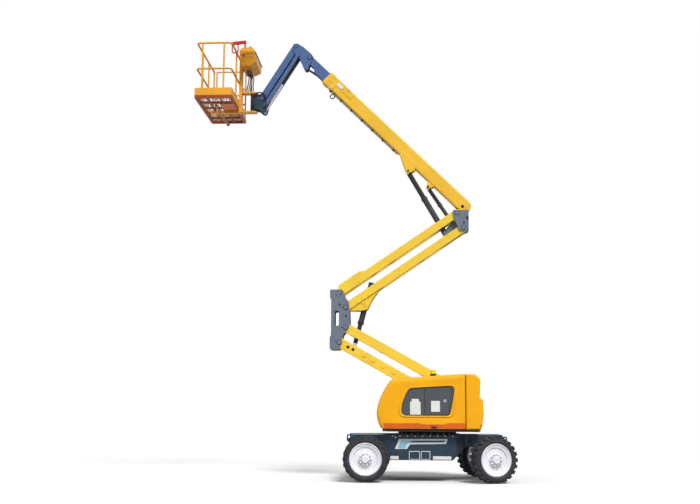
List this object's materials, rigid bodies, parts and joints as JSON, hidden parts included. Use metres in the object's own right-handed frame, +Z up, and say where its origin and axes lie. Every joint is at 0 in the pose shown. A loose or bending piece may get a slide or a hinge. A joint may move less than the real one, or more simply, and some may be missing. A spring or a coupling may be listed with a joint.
{
  "type": "articulating boom lift",
  "caption": "Wheeled work platform lift: turntable on a four-wheel chassis, folding two-stage riser, telescoping boom, levelled jib and a railed platform that turns.",
  "frame": {"origin": "on the ground, on the axis that the turntable swings about", "axes": "+X towards the steered axle, with the platform towards -X as parked, +Z up, and the side seen in the picture at -Y"},
  "size_m": [6.1913, 2.5326, 8.7851],
  "materials": {
    "chassis_paint": "dark blue paint",
    "axle_paint": "dark paint",
    "tyre_rubber": "solid rubber",
    "rim_paint": "white paint",
    "hood_paint": "yellow-orange paint",
    "boom_paint": "yellow paint",
    "upright_paint": "blue-grey paint",
    "jib_paint": "steel-blue paint",
    "window_panel": "dark smoked panel",
    "lamp": "yellow-green lens",
    "barrel_paint": "black paint",
    "rod_cover": "black bellows",
    "rod_steel": "plated rod",
    "guard_red": "red paint",
    "console_box": "yellow-orange paint",
    "platform_paint": "yellow paint",
    "black_parts": "black paint",
    "weight_cast": "painted casting",
    "engine_cast": "dark casting"
  },
  "bodies": {
    "chassis": {"chassis_frame": "chassis_paint", "tie_lugs": "chassis_paint", "fixed_axle": "axle_paint", "steer_axle": "axle_paint", "slew_ring": "black_parts"},
    "knuckle_near": {"knuckle_near": "axle_paint"},
    "knuckle_far": {"knuckle_far": "axle_paint"},
    "wheel_left_near": {"tyre_left_near": "tyre_rubber", "rim_left_near": "rim_paint"},
    "wheel_left_far": {"tyre_left_far": "tyre_rubber", "rim_left_far": "rim_paint"},
    "wheel_right_near": {"tyre_right_near": "tyre_rubber", "rim_right_near": "rim_paint"},
    "wheel_right_far": {"tyre_right_far": "tyre_rubber", "rim_right_far": "rim_paint"},
    "turntable": {"turntable_frame": "chassis_paint", "cheek_near": "chassis_paint", "cheek_far": "chassis_paint", "counterweight": "weight_cast", "engine_block": "engine_cast"},
    "hood_near": {"hood_near": "hood_paint", "panel_near": "window_panel", "beacon": "lamp"},
    "hood_far": {"hood_far": "hood_paint", "panel_far": "window_panel"},
    "lower_arm": {"lower_arm": "boom_paint"},
    "lower_link": {"lower_link": "boom_paint"},
    "mid_upright": {"mid_upright": "upright_paint"},
    "upper_arm": {"upper_arm": "boom_paint"},
    "upper_link": {"upper_link": "boom_paint"},
    "top_upright": {"top_upright": "upright_paint"},
    "riser_barrel": {"riser_barrel": "barrel_paint"},
    "riser_rod": {"riser_rod": "rod_cover"},
    "main_boom": {"main_boom": "boom_paint", "boom_collar": "boom_paint"},
    "lift_barrel": {"lift_barrel": "barrel_paint"},
    "lift_rod": {"lift_rod": "rod_cover"},
    "master_barrel": {"master_barrel": "barrel_paint"},
    "master_rod": {"master_rod": "rod_cover"},
    "fly_boom": {"fly_boom": "jib_paint", "slave_barrel": "barrel_paint"},
    "boom_head": {"boom_head": "jib_paint"},
    "slave_rod": {"slave_rod": "rod_steel"},
    "jib_arm": {"jib_arm": "jib_paint"},
    "jib_bars": {"jib_bars": "jib_paint"},
    "jib_head": {"jib_head": "jib_paint"},
    "jib_barrel": {"jib_barrel": "black_parts"},
    "jib_rod": {"jib_rod": "rod_steel"},
    "platform": {"platform_mount": "platform_paint", "platform_floor": "platform_paint", "platform_rails": "platform_paint", "rails_left": "platform_paint", "rails_right": "platform_paint", "gate_foot": "platform_paint", "toe_boards": "platform_paint", "console": "console_box", "guard_bar": "guard_red"},
    "gate": {"platform_gate": "platform_paint"}
  },
  "joints": [
    {"name": "steer_near", "type": "hinge", "parent": "chassis", "child": "knuckle_near", "pos_m": [1.12, -0.79, 0.42], "axis": [0, 0, 1], "range_deg": [-55, 15]},
    {"name": "steer_far", "type": "hinge", "parent": "chassis", "child": "knuckle_far", "pos_m": [1.12, 0.79, 0.42], "axis": [0, 0, 1], "range_deg": [-55.01, 15.01]},
    {"name": "wheel_left_near_spin", "type": "hinge", "parent": "chassis", "child": "wheel_left_near", "pos_m": [-1.15, -1, 0.42], "axis": [0, 1, 0], "continuous": true},
    {"name": "wheel_left_far_spin", "type": "hinge", "parent": "chassis", "child": "wheel_left_far", "pos_m": [-1.15, 1, 0.42], "axis": [0, 1, 0], "continuous": true},
    {"name": "wheel_right_near_spin", "type": "hinge", "parent": "knuckle_near", "child": "wheel_right_near", "pos_m": [1.19182, -0.98733, 0.42], "axis": [-0.342, 0.9397, 0], "continuous": true},
    {"name": "wheel_right_far_spin", "type": "hinge", "parent": "knuckle_far", "child": "wheel_right_far", "pos_m": [1.04818, 0.98733, 0.42], "axis": [-0.342, 0.9397, 0], "continuous": true},
    {"name": "swing", "type": "hinge", "parent": "chassis", "child": "turntable", "pos_m": [0, 0, 0.92], "axis": [0, 0, 1], "range_deg": [-177.5, 177.5]},
    {"name": "hood_near_open", "type": "hinge", "parent": "turntable", "child": "hood_near", "pos_m": [0, -0.236, 1.996], "axis": [-1, 0, 0], "range_deg": [0, 60]},
    {"name": "hood_far_open", "type": "hinge", "parent": "turntable", "child": "hood_far", "pos_m": [0, 0.236, 1.996], "axis": [1, 0, 0], "range_deg": [0, 60]},
    {"name": "riser_lift", "type": "hinge", "parent": "turntable", "child": "lower_arm", "pos_m": [0.72, 0, 1.262], "axis": [0, 1, 0], "range_deg": [-34, 40]},
    {"name": "lower_link_turn", "type": "hinge", "parent": "turntable", "child": "lower_link", "pos_m": [0.842, 0, 1.56], "axis": [0, 1, 0], "range_deg": [-34.01, 40.01]},
    {"name": "mid_upright_turn", "type": "hinge", "parent": "lower_arm", "child": "mid_upright", "pos_m": [-1.70672, 0, 2.61825], "axis": [0, 1, 0], "range_deg": [-40.01, 34.01]},
    {"name": "upper_arm_turn", "type": "hinge", "parent": "mid_upright", "child": "upper_arm", "pos_m": [-1.58472, 0, 3.30825], "axis": [0, -1, 0], "range_deg": [-34.01, 40.01]},
    {"name": "upper_link_turn", "type": "hinge", "parent": "mid_upright", "child": "upper_link", "pos_m": [-1.70672, 0, 3.60625], "axis": [0, -1, 0], "range_deg": [-34.01, 40.01]},
    {"name": "top_upright_turn", "type": "hinge", "parent": "upper_arm", "child": "top_upright", "pos_m": [0.73937, 0, 4.8877], "axis": [0, -1, 0], "range_deg": [-40.01, 34.01]},
    {"name": "riser_barrel_turn", "type": "hinge", "parent": "upper_arm", "child": "riser_barrel", "pos_m": [-1.20353, 0, 3.35935], "axis": [0, -1, 0], "range_deg": [-35.81, 30.44]},
    {"name": "riser_rod_slide", "type": "slide", "parent": "riser_barrel", "child": "riser_rod", "axis": [-0.2611, 0, -0.9653], "range_m": [-0.35256, 0.4146]},
    {"name": "boom_lift", "type": "hinge", "parent": "top_upright", "child": "main_boom", "pos_m": [0.72937, 0, 5.3277], "axis": [0, 1, 0], "range_deg": [-42, 28]},
    {"name": "lift_barrel_turn", "type": "hinge", "parent": "top_upright", "child": "lift_barrel", "pos_m": [0.39337, 0, 4.7787], "axis": [0, -1, 0], "range_deg": [-23.25, 34.87]},
    {"name": "lift_rod_slide", "type": "slide", "parent": "lift_barrel", "child": "lift_rod", "axis": [-0.5008, 0, 0.8655], "range_m": [-0.42016, 0.28044]},
    {"name": "master_barrel_turn", "type": "hinge", "parent": "top_upright", "child": "master_barrel", "pos_m": [0.54604, 0, 4.98212], "axis": [0, -1, 0], "range_deg": [-23.25, 34.87]},
    {"name": "master_rod_slide", "type": "slide", "parent": "master_barrel", "child": "master_rod", "axis": [-0.5531, 0, 0.8331], "range_m": [-0.25552, 0.17068]},
    {"name": "boom_extend", "type": "slide", "parent": "main_boom", "child": "fly_boom", "axis": [-0.7145, 0, 0.6997], "range_m": [0, 2.2]},
    {"name": "head_level", "type": "hinge", "parent": "fly_boom", "child": "boom_head", "pos_m": [-2.36968, 0, 8.46609], "axis": [0, 1, 0], "range_deg": [-28.01, 42.01]},
    {"name": "slave_rod_slide", "type": "slide", "parent": "fly_boom", "child": "slave_rod", "axis": [-0.8274, 0, 0.5617], "range_m": [-0.09452, 0.14128]},
    {"name": "jib_lift", "type": "hinge", "parent": "boom_head", "child": "jib_arm", "pos_m": [-2.65268, 0, 8.72209], "axis": [0, 1, 0], "range_deg": [-9, 126]},
    {"name": "jib_bars_turn", "type": "hinge", "parent": "boom_head", "child": "jib_bars", "pos_m": [-2.59768, 0, 8.52609], "axis": [0, 1, 0], "range_deg": [-9.01, 126.01]},
    {"name": "jib_head_turn", "type": "hinge", "parent": "jib_arm", "child": "jib_head", "pos_m": [-3.31508, 0, 7.66203], "axis": [0, 1, 0], "range_deg": [-126.01, 9.01]},
    {"name": "jib_barrel_turn", "type": "hinge", "parent": "boom_head", "child": "jib_barrel", "pos_m": [-2.55768, 0, 8.56109], "axis": [0, -1, 0], "range_deg": [-119.08, 8.52]},
    {"name": "jib_rod_slide", "type": "slide", "parent": "jib_barrel", "child": "jib_rod", "axis": [-0.5133, 0, -0.8582], "range_m": [-0.24544, 0.01846]},
    {"name": "platform_rotate", "type": "hinge", "parent": "jib_head", "child": "platform", "pos_m": [-3.50508, 0, 7.66203], "axis": [0, 0, 1], "range_deg": [-80, 80]},
    {"name": "gate_swing", "type": "hinge", "parent": "platform", "child": "gate", "pos_m": [-3.91407, 0.8905, 7.44203], "axis": [0, 0, 1], "range_deg": [0, 85]}
  ],
  "couplings": [
    {"joint": "steer_far", "follows": "steer_near", "ratio": 1},
    {"joint": "lower_link_turn", "follows": "riser_lift", "ratio": 1},
    {"joint": "mid_upright_turn", "follows": "riser_lift", "ratio": -1},
    {"joint": "upper_arm_turn", "follows": "riser_lift", "ratio": 1},
    {"joint": "upper_link_turn", "follows": "riser_lift", "ratio": 1},
    {"joint": "top_upright_turn", "follows": "riser_lift", "ratio": -1},
    {"joint": "riser_barrel_turn", "follows": "riser_lift", "ratio": -0.895},
    {"joint": "riser_rod_slide", "follows": "riser_lift", "m_per_rad": 0.59244},
    {"joint": "lift_barrel_turn", "follows": "boom_lift", "ratio": -0.83},
    {"joint": "lift_rod_slide", "follows": "boom_lift", "m_per_rad": 0.57181},
    {"joint": "master_barrel_turn", "follows": "boom_lift", "ratio": -0.83},
    {"joint": "master_rod_slide", "follows": "boom_lift", "m_per_rad": 0.34721},
    {"joint": "head_level", "follows": "boom_lift", "ratio": -1},
    {"joint": "slave_rod_slide", "follows": "boom_lift", "m_per_rad": -0.19137},
    {"joint": "jib_bars_turn", "follows": "jib_lift", "ratio": 1},
    {"joint": "jib_head_turn", "follows": "jib_lift", "ratio": -1},
    {"joint": "jib_barrel_turn", "follows": "jib_lift", "ratio": -0.945},
    {"joint": "jib_rod_slide", "follows": "jib_lift", "m_per_rad": -0.11115}
  ]
}
